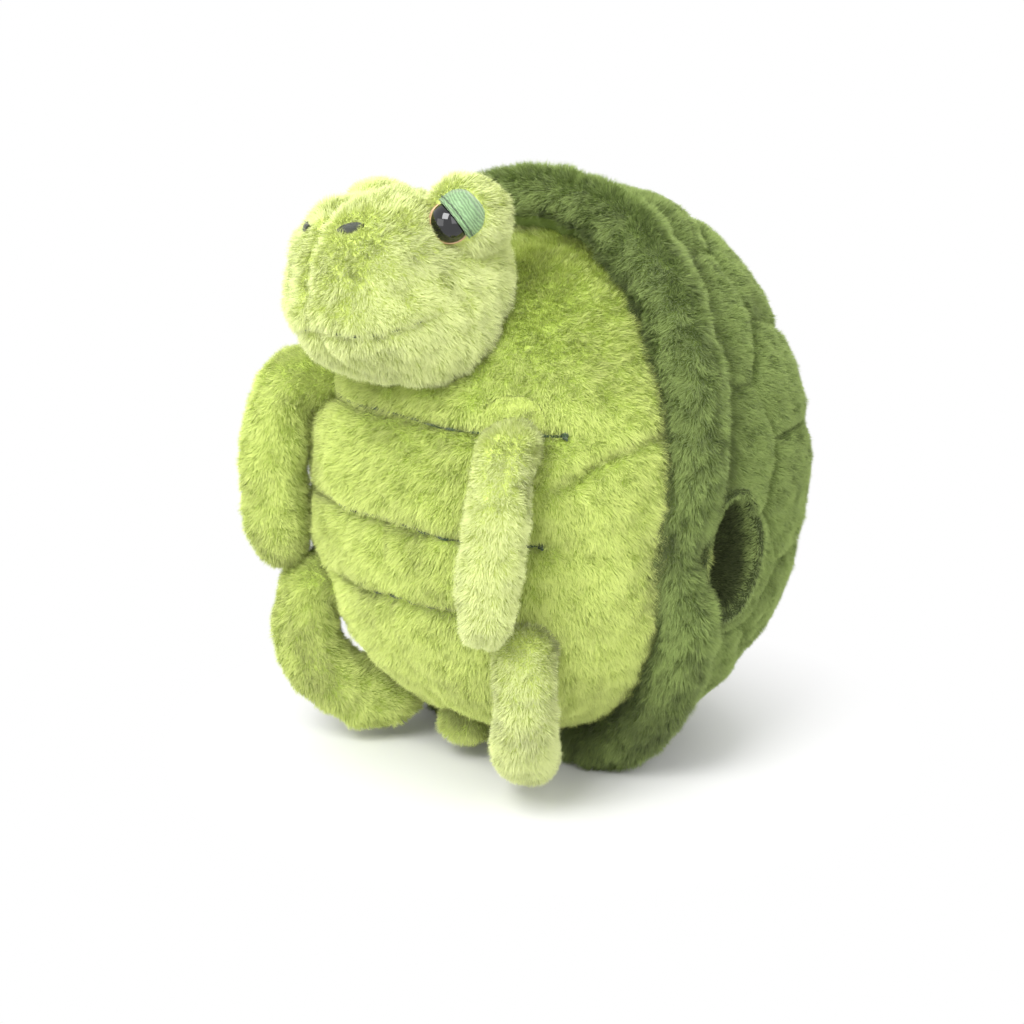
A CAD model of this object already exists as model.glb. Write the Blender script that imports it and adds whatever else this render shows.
"""Stuffed turtle: sewn covers with standing pile, a quilted shell, a rolled rim and hand pockets.

Every cover is a surface of two parameters, worked out as whole arrays. The pile is short hairs that
stand on the covers, combed by a field of directions. Metres, +Z up, and the turtle looks along -Y.
"""

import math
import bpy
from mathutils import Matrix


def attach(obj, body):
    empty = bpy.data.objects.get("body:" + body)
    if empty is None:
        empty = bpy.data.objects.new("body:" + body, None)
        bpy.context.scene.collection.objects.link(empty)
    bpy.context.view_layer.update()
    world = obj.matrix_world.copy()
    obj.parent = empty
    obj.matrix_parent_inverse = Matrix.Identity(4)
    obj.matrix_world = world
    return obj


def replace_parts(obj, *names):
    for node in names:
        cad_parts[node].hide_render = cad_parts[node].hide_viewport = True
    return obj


bl_info = {
    "name": "Stuffed Turtle",
    "version": (1, 0, 0),
    "blender": (4, 5, 0),
    "location": "View3D > Sidebar > Turtle",
    "description": "Dresses a stuffed turtle with pile, stitching and eyes",
    "category": "Add Mesh",
}

import bpy
import numpy as np
from bpy.props import FloatProperty, FloatVectorProperty, PointerProperty
from mathutils import Matrix, Vector

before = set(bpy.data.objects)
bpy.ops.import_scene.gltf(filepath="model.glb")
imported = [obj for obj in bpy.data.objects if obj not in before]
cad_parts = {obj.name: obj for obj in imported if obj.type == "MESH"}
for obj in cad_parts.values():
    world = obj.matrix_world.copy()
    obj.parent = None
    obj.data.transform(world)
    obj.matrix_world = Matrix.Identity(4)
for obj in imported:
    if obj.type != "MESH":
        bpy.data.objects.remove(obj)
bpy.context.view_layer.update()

# The frame's own sizes: the ball body, its belly in front and its shell behind
MIDDLE = np.array([0.0, -0.00266, 0.156])
SHELL_HALVES = np.array([0.137, 0.162, 0.161])
BELLY_HALVES = np.array([0.127, 0.117, 0.138])
BELLY_POWER, SHELL_POWER = 2.25, 2.0
SEAM_ANGLE = math.radians(86)
BELLY_END_ANGLE, SHELL_START_ANGLE = math.radians(76), math.radians(98)
LEAN_BACK = 0.026
SCUTE_COUNTS = ((1, 0.0), (6, 0.0), (12, 0.0), (12, 0.5))
SCUTE_STEP = (math.pi - SEAM_ANGLE) * 4 / 13
ROWS = {"upper": (0.053, 0.092), "middle": (-0.003, 0.088), "lower": (-0.046, 0.052)}
RIM_RADIUS, RIM_FORWARD = 0.018, 0.014
RIM_HALVES = (0.1255, 0.154)
RIM_POWER = 2.25
RIM_DENT, RIM_DENT_LENGTH, RIM_DENT_RISE = 0.0104, 0.029, 0.006
RIM_SWEEP = 0.008
POCKET_HALVES, POCKET_DEPTH = (0.0175, 0.034), 0.078
POCKET_AT = (0.00684, 0.135)
POCKET_LIP = 0.0028

# Head, in its own axes: to the side, backwards and up from its middle
HEAD_MIDDLE = MIDDLE + np.array([0.0, -0.106, 0.120])
HEAD_HALVES = np.array([0.051, 0.054, 0.047])
HEAD_POWER = 2.5
HEAD_TURN = np.array(
    Matrix.Rotation(math.radians(-12), 3, "Z")
    @ Matrix.Rotation(math.radians(-20), 3, "X")
    @ Matrix.Rotation(math.radians(-8), 3, "Y")
)
MOUND_MIDDLE, MOUND_HALVES = np.array([0.042, 0.005, 0.040]), np.array([0.0185, 0.021, 0.019])
EYE_PLACE, EYE_RADIUS = np.array([0.0478, -0.0085, 0.0331]), 0.0105
EYE_OUT, EYE_RISE, EYE_END = math.radians(42), math.radians(8), math.radians(125)
NOSTRIL_TURN, NOSTRIL_RISE, NOSTRIL_TILT = math.radians(23), math.radians(21), math.radians(26)
NOSTRIL_HALVES, NOSTRIL_LIFT = np.array([0.0080, 0.0030, 0.0016]), 0.0017
MOUTH_TURN, MOUTH_DROP, MOUTH_CORNER = math.radians(82), math.radians(-36), math.radians(-15)

# Limbs: outward and downward shares of their reach and drop. An arm's row holds its side, angle,
# height, drop, lean to the front, half girth and reach, a leg's its side, half girth and reach
ARM_PATH = ((0.30, 0.00), (0.78, 0.10), (1.00, 0.34), (1.02, 0.62), (0.92, 0.86), (0.72, 1.00))
ARMS = {
    "arm_left": (1, math.radians(37.5), 0.048, 0.098, 0.012, 0.0132, 0.153),
    "arm_right": (-1, math.radians(41), 0.058, 0.106, 0.0, 0.0188, 0.150),
}
LEGS = {"leg_left": (1, 0.0138, 0.140), "leg_right": (-1, 0.0185, 0.135)}
LEG_OUT, LEG_BACK = ((0.30, 0.02), (0.88, 0.20), (1.00, 0.48)), ((0.16, 0.80), (0.52, 0.99), (1.00, 1.00))
LEG_ANGLE, LEG_HEIGHT, LEG_TIP, LEG_LOW = math.radians(41), -0.058, 0.068, 0.0265
ROOT_DEPTH = 0.030
TAIL_FORWARD, TAIL_ROOT, TAIL_LOW, TAIL_RADIUS = 0.058, 0.058, 0.0123, 0.0145
TAIL_PATH = ((0.0027, 0.0), (0.00135, 0.4), (0.0, 0.75), (0.0, 1.0))

# Sides, stitching, and the least height over the floor
SIDES = (("left", 1), ("right", -1))
ROW_RADIUS, ROW_STITCH = 0.00072, 0.0135
MOUTH_RADIUS, MOUTH_STITCH = 0.00075, 0.0125
FLOOR_GAP = 0.0003

# Depths, heights and widths of the body's and the head's relief
BELLY_CROWN, BELLY_SINK = 0.0048, 0.0012
BELLY_SEAM, BELLY_SEAM_WIDTH, SIDE_FOLD = 0.0016, 0.0035, 0.0058
PILLOW, PILLOW_WIDTH, QUILTING, QUILTING_WIDTH = 0.0040, 0.019, 0.0018, 0.0022
MUZZLE_SEAM, MUZZLE_SEAM_WIDTH, CHIN_SEAM, CHIN_SEAM_WIDTH = 0.0042, 0.0036, 0.0032, 0.010
MOUTH_CREASE, MOUTH_CREASE_WIDTH, LIP, LIP_WIDTH = 0.0015, 0.0030, 0.0014, 0.009
NOSTRIL_DENT, NOSTRIL_DENT_WIDTH, EYE_DENT, EYE_DENT_WIDTH = 0.0026, 0.0055, 0.0030, 0.0085


def unit(ways):
    """Each vector divided by its length."""
    return ways / np.maximum(np.linalg.norm(ways, axis=-1, keepdims=True), 1e-9)


def ease(share):
    """3t^2 - 2t^3, with t held between 0 and 1."""
    share = np.clip(share, 0, 1)
    return share * share * (3 - 2 * share)


def bell(distance, width):
    """exp(-(distance / width)^2)."""
    return np.exp(-((distance / width) ** 2))


def ripple(points, size, seed, waves=8):
    """Smooth noise near -1 to 1: the sum of sines along random directions, wavelength about size."""
    rng = np.random.default_rng(seed)
    ways = unit(rng.normal(size=(waves, 3))) * 2 * np.pi / (size * rng.uniform(0.7, 1.5, (waves, 1)))
    return np.sin(points @ ways.T + rng.uniform(0, 2 * np.pi, waves)).sum(-1) / math.sqrt(waves)


def ripples(points, size, seed):
    """Three such noises as a vector."""
    return np.stack([ripple(points, size, seed + index) for index in range(3)], -1)


def full_turn(count):
    """Angles of a full turn, the last a step short of it."""
    return np.linspace(0, 2 * np.pi, count, endpoint=False)


def vectors(x, y, z):
    """Coordinates as vectors, with constants spread along the others."""
    return np.stack(np.broadcast_arrays(x, y, z), -1)


def mirrored(vector, side):
    """A vector of the left side, which is 1, on either side."""
    return vector * np.array([side, 1, 1])


def around(axis, columns, hint):
    """A circle of unit vectors square to each axis. Its first is square to the hint too."""
    aside = unit(np.cross(axis, hint))[..., None, :]
    other = np.cross(axis[..., None, :], aside)
    turn = full_turn(columns)[:, None]
    return np.cos(turn) * aside + np.sin(turn) * other


class Cover:
    """A surface as vertices, triangles, corner UVs and the vertices' outward normals."""

    def __init__(self, grid, first_pole=False, last_pole=False, flip=False):
        """grid holds rows of points that close on themselves. A pole row becomes one vertex."""
        rows, columns = grid.shape[:2]
        index = np.arange(rows * columns).reshape(rows, columns)
        if first_pole:
            index[0] = index[0, 0]
        if last_pole:
            index[-1] = index[-1, 0]
        after = np.roll(index, -1, axis=1)
        a, b, c, d = index[:-1], after[:-1], after[1:], index[1:]
        tris = np.stack([np.stack([a, b, c], -1), np.stack([a, c, d], -1)], 2).reshape(-1, 3)
        u, v = np.meshgrid(np.arange(columns) / columns, np.arange(rows) / (rows - 1))
        low = np.stack([u, v], -1)
        high = low + np.array([1 / columns, 0])
        a, b, c, d = low[:-1], high[:-1], high[1:], low[1:]
        uv = np.stack([np.stack([a, b, c], -2), np.stack([a, c, d], -2)], 2).reshape(-1, 3, 2)
        real = (tris[:, 0] != tris[:, 1]) & (tris[:, 1] != tris[:, 2]) & (tris[:, 0] != tris[:, 2])
        tris, uv = tris[real], uv[real]
        if flip:
            tris, uv = tris[:, ::-1], uv[:, ::-1]
        self.points, self.tris, self.uv = grid.reshape(-1, 3).copy(), tris, uv
        self.tidy()

    def tidy(self):
        """Leaves out unused vertices and works out the normals, as sums of triangle normals."""
        used, place = np.unique(self.tris, return_inverse=True)
        self.points, self.tris = self.points[used], place.reshape(-1, 3)
        a, b, c = (self.points[self.tris[:, k]] for k in range(3))
        across = np.cross(b - a, c - a)
        total = np.zeros_like(self.points)
        for corner in range(3):
            np.add.at(total, self.tris[:, corner], across)
        self.normals = unit(total)

    def keep(self, chosen):
        """Keeps the triangles whose middles the mask chooses."""
        self.tris, self.uv = self.tris[chosen], self.uv[chosen]
        self.tidy()

    def middles(self):
        """The triangles' middles."""
        return self.points[self.tris].mean(1)


def facing_out(grid, middle, **poles):
    """A cover whose faces point away from a point inside it: where the sum of a . (b x c) over its
    triangles, measured from that point, is below zero, the faces are turned over."""
    cover = Cover(grid, **poles)
    a, b, c = (cover.points[cover.tris[:, k]] - middle for k in range(3))
    inside_out = (a * np.cross(b, c)).sum() < 0
    return Cover(grid, flip=True, **poles) if inside_out else cover


def mesh_piece(name, points, tris, uv, finish, body, smooth=False):
    """Puts arrays into a mesh object that rides on a body and takes its finish's slot."""
    mesh = bpy.data.meshes.new(name)
    mesh.vertices.add(len(points))
    mesh.vertices.foreach_set("co", np.ascontiguousarray(points, np.float32).ravel())
    mesh.loops.add(3 * len(tris))
    mesh.loops.foreach_set("vertex_index", np.ascontiguousarray(tris, np.int32).ravel())
    mesh.polygons.add(len(tris))
    mesh.polygons.foreach_set("loop_start", np.arange(0, 3 * len(tris), 3, dtype=np.int32))
    layer = mesh.uv_layers.new(name="OFBake")
    layer.uv.foreach_set("vector", np.ascontiguousarray(uv, np.float32).ravel())
    mesh.update(calc_edges=True)
    if smooth:
        mesh.shade_smooth()
    mesh.materials.append(finish)
    item = bpy.data.objects.new(name, mesh)
    bpy.context.scene.collection.objects.link(item)
    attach(item, body)
    return item


def cover_piece(name, cover, finish, body):
    """A cover as a smooth piece."""
    return mesh_piece(name, cover.points, cover.tris, cover.uv, finish, body, smooth=True)


HAIRS_A_PIECE = 190000


def pile(name, cover, finish, body, slot, look, comb, share_of=None, dark_of=None, seed=1):
    """Hairs on a cover: narrow triangles on random points, evenly by area.

    look is (length, hairs per mm2, half width). A hair stands along 0.80 n + flow, where n is the
    cover's normal and flow is the comb's direction in the surface with noise added, so that hairs
    lean together in tufts. Its base lies along way x n, so that its face looks outward. A hair's UV
    is (its tint, the share of its length), which alone sets its colour. share_of(points) scales the
    length, and hairs under a tenth are left out. dark_of(points) is 1 in a crease, 0 away from it.
    """
    length, density, thick = look
    rng = np.random.default_rng(seed)
    a, b, c = (cover.points[cover.tris[:, k]] for k in range(3))
    area = np.linalg.norm(np.cross(b - a, c - a), axis=1) / 2
    count = int(area.sum() * 1e6 * density)
    pick = np.searchsorted(np.cumsum(area), rng.random(count) * area.sum())
    pick = np.minimum(pick, len(area) - 1)
    s, t = np.sqrt(rng.random((count, 1))), rng.random((count, 1))
    weights = (1 - s, s * (1 - t), s * t)
    root = sum(w * cover.points[cover.tris[pick, k]] for k, w in enumerate(weights))
    normal = unit(sum(w * cover.normals[cover.tris[pick, k]] for k, w in enumerate(weights)))
    share = np.ones(count) if share_of is None else share_of(root)
    stays = (share > 0.1) & (root[:, 2] > 2 * FLOOR_GAP)
    root, normal, share = root[stays], normal[stays], share[stays]
    count = len(root)
    flow = comb(root)
    flow = unit(flow - normal * (flow * normal).sum(1, keepdims=True)) * 0.60
    flow += 0.20 * ripples(root, 0.013, seed + 20) + 0.20 * ripples(root, 0.0045, seed + 30)
    flow += rng.normal(size=(count, 3)) * 0.17
    flow -= normal * (flow * normal).sum(1, keepdims=True)
    way = unit(normal * 0.80 + flow)
    size = length * share * rng.uniform(0.75, 1.2, count) * (1 + 0.15 * ripple(root, 0.012, seed + 3))
    side = unit(np.cross(way, normal) + rng.normal(size=(count, 3)) * 0.25)
    base = root - normal * 0.0008
    points = np.stack([base - side * thick, base + side * thick, root + way * size[:, None]], 1)
    points[:, :, 2] = np.maximum(points[:, :, 2], FLOOR_GAP)
    tint = 0.56 + 0.10 * ripple(root, 0.045, seed + 5) + 0.06 * ripple(root, 0.012, seed + 6)
    if dark_of is not None:
        tint -= 0.55 * dark_of(root)
    tint = np.clip(tint + rng.normal(size=count) * 0.09, 0.02, 0.97)
    uv = np.tile(np.array([[0, 0], [0.01, 0], [0.005, 1]]), (count, 1, 1))
    uv[..., 0] += tint[:, None]
    for part, start in enumerate(range(0, count, HAIRS_A_PIECE)):
        chunk = slice(start, min(start + HAIRS_A_PIECE, count))
        tris = np.arange(3 * (chunk.stop - chunk.start)).reshape(-1, 3)
        mesh_piece(
            f"{name}_pile_{part + 1}", points[chunk].reshape(-1, 3), tris, uv[chunk].reshape(-1, 2),
            finish, body,
        )


class Value:
    """A number of a node tree. Arithmetic on it adds Math nodes."""

    def __init__(self, tree, socket):
        self.tree, self.socket = tree, socket

    def math(self, operation, *terms):
        """One Math node over numbers and values."""
        node = self.tree.nodes.new("ShaderNodeMath")
        node.operation = operation
        for slot_in, term in zip(node.inputs, terms, strict=False):
            if isinstance(term, Value):
                self.tree.links.new(term.socket, slot_in)
            else:
                slot_in.default_value = term
        return Value(self.tree, node.outputs[0])

    def __add__(self, other):
        return self.math("ADD", self, other)

    def __mul__(self, other):
        return self.math("MULTIPLY", self, other)

    def __sub__(self, other):
        return self.math("SUBTRACT", self, other)

    def __rsub__(self, other):
        return self.math("SUBTRACT", other, self)

    def __truediv__(self, other):
        return self.math("DIVIDE", self, other)

    def __pow__(self, other):
        return self.math("POWER", self, other)

    def above(self, edge):
        return self.math("GREATER_THAN", self, edge)

    def sine(self):
        return self.math("SINE", self)

    def held(self):
        """Held between 0 and 1."""
        return self.math("MINIMUM", self.math("MAXIMUM", self, 0.0), 1.0)

    __radd__ = __add__
    __rmul__ = __mul__


class Nodes:
    """A node tree and short ways to add to it."""

    def __init__(self, tree):
        self.tree = tree

    def node(self, kind, settings=(), **sockets):
        """Adds a node: settings first, then its sockets' values or links."""
        node = self.tree.nodes.new("ShaderNode" + kind)
        for key, value in dict(settings).items():
            setattr(node, key, value)
        for key, value in sockets.items():
            socket = node.inputs[int(key[1:])] if key[0] == "i" and key[1:].isdigit() else node.inputs[key]
            self.join(value, socket)
        return node

    def join(self, value, socket):
        """Links a value or socket, or sets a constant."""
        if isinstance(value, Value):
            value = value.socket
        if isinstance(value, bpy.types.NodeSocket):
            self.tree.links.new(value, socket)
        else:
            socket.default_value = value

    def value(self, socket):
        """A socket as a value for arithmetic."""
        return Value(self.tree, socket)

    def blend(self, share, first, second, end):
        """Sends a mix of two shaders to the tree's end, the second where the share is 1."""
        node = self.node("MixShader", i0=share, i1=first, i2=second)
        self.join(node.outputs[0], end)

    def mix(self, share, low, high):
        """Colour mix, low at share 0 and high at share 1."""
        node = self.node("Mix", {"data_type": "RGBA"})
        self.join(share, node.inputs[0])
        for value, socket in ((low, node.inputs[6]), (high, node.inputs[7])):
            self.join((*value, 1) if isinstance(value, tuple) else value, socket)
        return node.outputs[2]

    def across_and_along(self):
        """Both coordinates of the piece's UV."""
        parts = self.node("SeparateXYZ", Vector=self.node("UVMap", {"uv_map": "OFBake"}).outputs[0])
        return self.value(parts.outputs[0]), self.value(parts.outputs[1])

    def noise(self, scale, detail=2.0):
        """Noise from 0 to 1 on Object coordinates."""
        place = self.node("TexCoord").outputs["Object"]
        node = self.node("TexNoise", Vector=place, Scale=scale, Detail=detail)
        return self.value(node.outputs[0])


class Finish(Nodes):
    """A Principled material."""

    def __init__(self, name, colour, roughness, **constants):
        self.material = bpy.data.materials.new(name)
        self.material.use_nodes = True
        super().__init__(self.material.node_tree)
        self.shader = self.tree.nodes["Principled BSDF"]
        self.feed("Base Color", (*colour, 1))
        self.feed("Roughness", roughness)
        for key, value in constants.items():
            self.feed(key.replace("_", " ").title(), value)

    def feed(self, socket, value):
        """Sets or links one of the shader's sockets."""
        self.join(value, self.shader.inputs[socket])

    def bump(self, height, distance):
        node = self.node("Bump", Height=height, Distance=distance, Strength=1.0)
        self.feed("Normal", node.outputs[0])


def length_value(name, description, default):
    """A length for the panel."""
    return FloatProperty(name=name, description=description, default=default, unit="LENGTH")


def colour_value(name, description, default):
    """A colour for the panel."""
    return FloatVectorProperty(name=name, description=description, subtype="COLOR", default=default)


class TurtleSizes(bpy.types.PropertyGroup):
    """What a user would change of the pile."""

    pile_length: length_value("Pile length", "Length of the body's pile", 0.0048)
    rim_pile_length: length_value("Rim pile length", "Length of the rim's pile", 0.0056)
    hair_half_width: length_value("Hair width", "Half width of a hair at its root", 0.00028)
    pile_density: FloatProperty(
        name="Pile density", description="Hairs on each square millimetre", default=3.4, min=0.1
    )


class TurtleColours(bpy.types.PropertyGroup):
    """The cloths' and eyes' colours."""

    pale_tip: colour_value("Pale pile tips", "Colour of the head's and limbs' pile", (0.79, 0.85, 0.40))
    pale_root: colour_value("Pale pile roots", "Colour of the pale pile at its backing", (0.52, 0.60, 0.17))
    light_tip: colour_value("Belly pile tips", "Colour of the belly's pile", (0.73, 0.82, 0.26))
    light_root: colour_value(
        "Belly pile roots", "Colour of the belly's pile at its backing", (0.42, 0.52, 0.11)
    )
    dark_tip: colour_value("Dark pile tips", "Colour of the shell's pile", (0.33, 0.43, 0.125))
    dark_root: colour_value(
        "Dark pile roots", "Colour of the dark pile at its backing", (0.14, 0.195, 0.045)
    )
    satin: colour_value("Satin", "Colour of the eyelids", (0.215, 0.36, 0.165))
    iris: colour_value("Iris", "Colour round the pupil", (0.66, 0.42, 0.24))
    thread: colour_value("Thread", "Colour of the stitching", (0.022, 0.05, 0.012))


def pile_finish(name, root, tip, deepest=0.30):
    """Colour by the hair's own UV: darker at the root, and its tint moves it lighter or darker."""
    made = Finish(name, tip, 0.85, sheen_weight=0.1, sheen_roughness=0.5)
    tint, along = made.across_and_along()
    colour = made.mix((along * 1.35).held() ** 0.7, root, tip)
    pale = tuple(min(1.0, channel * 1.18 + 0.02) for channel in tip)
    colour = made.mix((tint - 0.5).held() * 1.4 * along, colour, pale)
    deep = tuple(channel * deepest for channel in tip)
    made.feed("Base Color", made.mix(((0.5 - tint) * 1.7).held(), colour, deep))
    return made.material


def backing_finish(name, colour):
    """The knitted backing between the hairs, with uneven dye."""
    made = Finish(name, colour, 0.95)
    light = tuple(channel * 1.35 for channel in colour)
    made.feed("Base Color", made.mix(made.noise(90.0, 3.0), colour, light))
    made.bump(made.noise(1500.0, 1.0), 0.0006)
    return made.material


def satin_finish(name, colour):
    """Fine twill lines on Object coordinates over soft creases."""
    made = Finish(name, colour, 0.42, sheen_weight=0.4)
    place = made.node("TexCoord").outputs["Object"]
    lines = made.node(
        "TexWave", {"bands_direction": "DIAGONAL"}, Vector=place, Scale=250.0, Distortion=5.0
    )
    weave = made.value(lines.outputs[1])
    low = tuple(channel * 0.45 for channel in colour)
    pale = tuple(min(1.0, channel * 1.55) for channel in colour)
    made.feed("Base Color", made.mix((weave * 0.5 + made.noise(420.0) * 0.5).held(), low, pale))
    made.feed("Roughness", made.noise(220.0) * 0.2 + 0.32)
    made.bump(weave * 0.4 + made.noise(130.0) * 0.6, 0.0005)
    return made.material


def thread_finish(name, colour):
    """Twisted thread: slanted bands of the piece's UV."""
    made = Finish(name, colour, 0.75, sheen_weight=0.3)
    turn, along = made.across_and_along()
    twist = ((turn * 2 + along * 160.0) * (2 * math.pi)).sine()
    pale = tuple(channel * 2.2 + 0.01 for channel in colour)
    made.feed("Base Color", made.mix(twist * 0.3 + 0.4, colour, pale))
    made.bump(twist, 0.0002)
    return made.material


def settings():
    """The sizes and the colours that the panel shows."""
    return bpy.context.scene.turtle_sizes, bpy.context.scene.turtle_colours


def finish_once(name, make, *values):
    """A finish that several pieces share."""
    return bpy.data.materials.get(name) or make(name, *values)


def pile_finishes(kind):
    """The backing's and the hairs' finish of one kind of pile: pale, light or dark."""
    colours = settings()[1]
    root, tip = tuple(getattr(colours, kind + "_root")), tuple(getattr(colours, kind + "_tip"))
    return (
        finish_once(kind + "_backing", backing_finish, root),
        finish_once(kind + "_pile", pile_finish, root, tip),
    )


def thread():
    """The finish of all dark stitching."""
    return finish_once("dark_thread", thread_finish, tuple(settings()[1].thread))


def pile_look(length_share=1.0, rim=False):
    """(length, hairs on a square millimetre, half width) of a piece's hairs."""
    sizes = settings()[0]
    length = sizes.rim_pile_length if rim else sizes.pile_length
    return length * length_share, sizes.pile_density, sizes.hair_half_width


def scute_ways():
    """Unit vectors to the scutes' middles, on rings round the back's pole."""
    ways = []
    for ring, (count, shift) in enumerate(SCUTE_COUNTS):
        turn = 2 * np.pi * (np.arange(count) + shift) / count
        out, back = math.sin(ring * SCUTE_STEP), math.cos(ring * SCUTE_STEP)
        ways.append(vectors(out * np.sin(turn), back, out * np.cos(turn)))
    return np.concatenate(ways)


SCUTES = scute_ways()


def seam_distance(way):
    """Metres from the nearest quilting seam: half the difference of the angles to the two nearest
    scute middles, times the shell's depth."""
    way = unit(way + 0.022 * ripples(way, 0.9, 71))
    angles = np.arccos(np.clip(way @ SCUTES.T, -1, 1))
    angles = np.sort(np.partition(angles, 1, axis=1)[:, :2], axis=1)
    return (angles[:, 1] - angles[:, 0]) / 2 * SHELL_HALVES[1]


def polar_of(way):
    """Angle from the middle of the belly."""
    return np.arccos(np.clip(-way[:, 1], -1, 1))


def fold_near(wide, high):
    """1 on the slanted fold between a side of the belly and the rim, falling to 0 beside it."""
    return bell(high - 0.035 - (np.abs(wide) - 0.10) * 0.9, 0.005) * ease((np.abs(wide) - 0.085) / 0.02)


def body_radius(way):
    """Distance from the ball's middle to the cloth: (sum |c / half|^power)^(-1/power), whose halves
    and power go from the belly's to the shell's over the seam, with the rows' channels, the middle
    seam, the side folds and the quilting's pillows added."""
    polar = polar_of(way)
    share = ease((polar - BELLY_END_ANGLE) / (SHELL_START_ANGLE - BELLY_END_ANGLE))[:, None]
    halves = BELLY_HALVES + (SHELL_HALVES - BELLY_HALVES) * share
    halves[:, 1] = np.where(polar < math.pi / 2, BELLY_HALVES[1], SHELL_HALVES[1])
    power = BELLY_POWER + (SHELL_POWER - BELLY_POWER) * share
    radius = ((np.abs(way / halves) ** power).sum(1)) ** (-1 / power[:, 0])
    wide, high = way[:, 0] * radius, way[:, 2] * radius
    channel = np.zeros(len(way))
    for height, half_length in ROWS.values():
        fade = 1 - ease((np.abs(wide) - half_length) / 0.020)
        near = 0.6 * bell(high - height, 0.0095) + 0.4 * bell(high - height, 0.003)
        channel = np.maximum(channel, near * fade)
    front = ease((SEAM_ANGLE - polar) / math.radians(24))
    belly = BELLY_CROWN * (1 - channel) * front - BELLY_SINK
    seam = bell(wide, BELLY_SEAM_WIDTH) * ease((0.03 - high) / 0.03)
    belly -= BELLY_SEAM * seam * front
    belly -= SIDE_FOLD * fold_near(wide, high) * front
    belly += 0.0011 * ripple(way * radius[:, None], 0.045, 11) * front
    distance = seam_distance(way)
    pillow = 1 - (1 - np.minimum(distance / PILLOW_WIDTH, 1)) ** 2
    crease = bell(distance, QUILTING_WIDTH)
    back = ease((polar - SEAM_ANGLE) / math.radians(20))
    shell = (PILLOW * pillow - QUILTING * crease + 0.0012 * ripple(way, 0.35, 12)) * back
    return radius + np.where(polar < SEAM_ANGLE, belly, shell)


def lean(height, polar):
    """How far the upper part of the seam sweeps back: (height / half height)^2 sin(polar)^6."""
    return LEAN_BACK * (np.maximum(height, 0) / SHELL_HALVES[2]) ** 2 * np.sin(polar) ** 6


def body_points(way, lift=0.0):
    """Points of the cloth along unit vectors from the ball's middle, held over the floor."""
    place = way * (body_radius(way) + lift)[:, None]
    place[:, 1] += lean(place[:, 2], polar_of(way))
    place = place + MIDDLE
    place[:, 2] = np.maximum(place[:, 2], FLOOR_GAP)
    return place


def body_depth(points):
    """How far points lie under the body's cloth, along the line to the ball's middle."""
    local = points - MIDDLE
    distance = np.linalg.norm(local, axis=1)
    return body_radius(unit(local)) - distance


def ball_grid(polar, columns):
    """Unit vectors (sin p cos t, -cos p, sin p sin t) for rows of polar angles p."""
    p, t = np.meshgrid(polar, full_turn(columns), indexing="ij")
    return vectors(np.sin(p) * np.cos(t), -np.cos(p), np.sin(p) * np.sin(t))


def rim_middle(turn):
    """The rim's centreline: (sum |c / half|^power)^(-1/power) round the seam, leaning back at the top
    and a little at its lower corners, and drawn in where a hand goes into each pocket."""
    way = vectors(np.cos(turn), 0, np.sin(turn))
    halves = np.array([RIM_HALVES[0], 1.0, RIM_HALVES[1]])
    place = way * ((np.abs(way / halves) ** RIM_POWER).sum(1) ** (-1 / RIM_POWER))[:, None]
    dent = RIM_DENT * bell(place[:, 2] - (POCKET_AT[1] + RIM_DENT_RISE - MIDDLE[2]), RIM_DENT_LENGTH)
    swept = RIM_SWEEP * ease((-place[:, 2] - 0.05) / 0.09) * np.abs(np.cos(turn)) ** 0.5
    place[:, 1] = swept + lean(place[:, 2], np.full(len(turn), math.pi / 2)) - RIM_FORWARD - dent
    place[:, 0] += np.sign(place[:, 0]) * (0.5 * swept - dent)
    place = place + MIDDLE
    place[:, 2] = np.maximum(place[:, 2], RIM_RADIUS - 0.0045)
    return place


def rim_offset(points):
    """How far points lie outside the rim's centreline, and how far behind it."""
    local = points - MIDDLE
    middle = rim_middle(np.arctan2(local[:, 2], local[:, 0])) - MIDDLE
    out = np.hypot(local[:, 0], local[:, 2]) - np.hypot(middle[:, 0], middle[:, 2])
    return out, local[:, 1] - middle[:, 1]


def rim_depth(points):
    """How far points lie inside the rim roll: its radius less the distance to its centreline."""
    return RIM_RADIUS - np.hypot(*rim_offset(points))


def cloth_at(points_at, low, high):
    """The distances at which points_at(distances) leave the body, by halving low to high."""
    for _ in range(30):
        middle = (low + high) / 2
        inside = body_depth(points_at(middle)) > 0
        low, high = np.where(inside, middle, low), np.where(inside, high, middle)
    return middle


def pocket_share(points):
    """Distance from a pocket's middle line over its mouth's ellipse: 1 on the mouth's edge."""
    y = (points[:, 1] - POCKET_AT[0]) / POCKET_HALVES[0]
    z = (points[:, 2] - POCKET_AT[1]) / POCKET_HALVES[1]
    return np.where(np.abs(points[:, 0]) > 0.09, np.hypot(y, z), 9.0)


def row_near(points, width):
    """1 on a stitched row of the belly, falling to 0 over the width beside it."""
    local = points - MIDDLE
    near = np.zeros(len(points))
    for height, half_length in ROWS.values():
        on = bell(local[:, 2] - height, width) * (np.abs(local[:, 0]) < half_length + 0.002)
        near = np.maximum(near, on)
    return near


def dress(name, cover, body, kind, nodes, look, ways, seed):
    """A stuffed piece with its pile, which stands for its solids. ways holds the pile's functions:
    comb, share_of and dark_of."""
    slot = "pile_dark" if kind == "dark" else "pile_light"
    backing, hairs = pile_finishes(kind)
    piece = cover_piece(name, cover, backing, body)
    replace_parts(piece, *nodes)
    pile(name, cover, hairs, body, slot, look, *ways, seed=seed)


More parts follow.
